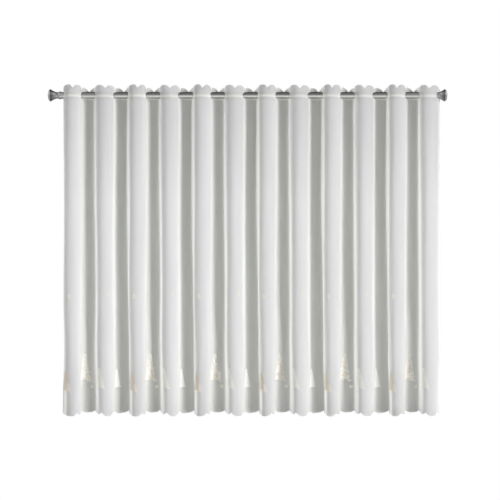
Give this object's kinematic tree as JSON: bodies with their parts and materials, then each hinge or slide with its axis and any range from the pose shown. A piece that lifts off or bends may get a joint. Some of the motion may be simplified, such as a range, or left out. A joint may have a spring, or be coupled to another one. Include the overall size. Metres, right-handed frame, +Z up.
{
  "type": "sheer voile curtain on a curtain rod",
  "caption": "Sheer voile curtain with scalloped top and hem, hanging in soft folds from a plain metal rod with trumpet finials.",
  "frame": {"origin": "middle of the curtain rod, on its axis", "axes": "+X along the rod to the right as seen from the room, -Y out of the front of the curtain, +Z up"},
  "size_m": [1.76, 0.0932, 1.4494],
  "materials": {
    "voile": "sheer plain weave, matt with a faint lustre",
    "rod_metal": "polished nickel",
    "finial_metal": "polished dark nickel"
  },
  "bodies": {
    "root": {"curtain": "voile", "rod": "rod_metal", "finial_left": "finial_metal", "finial_right": "finial_metal"}
  },
  "joints": []
}
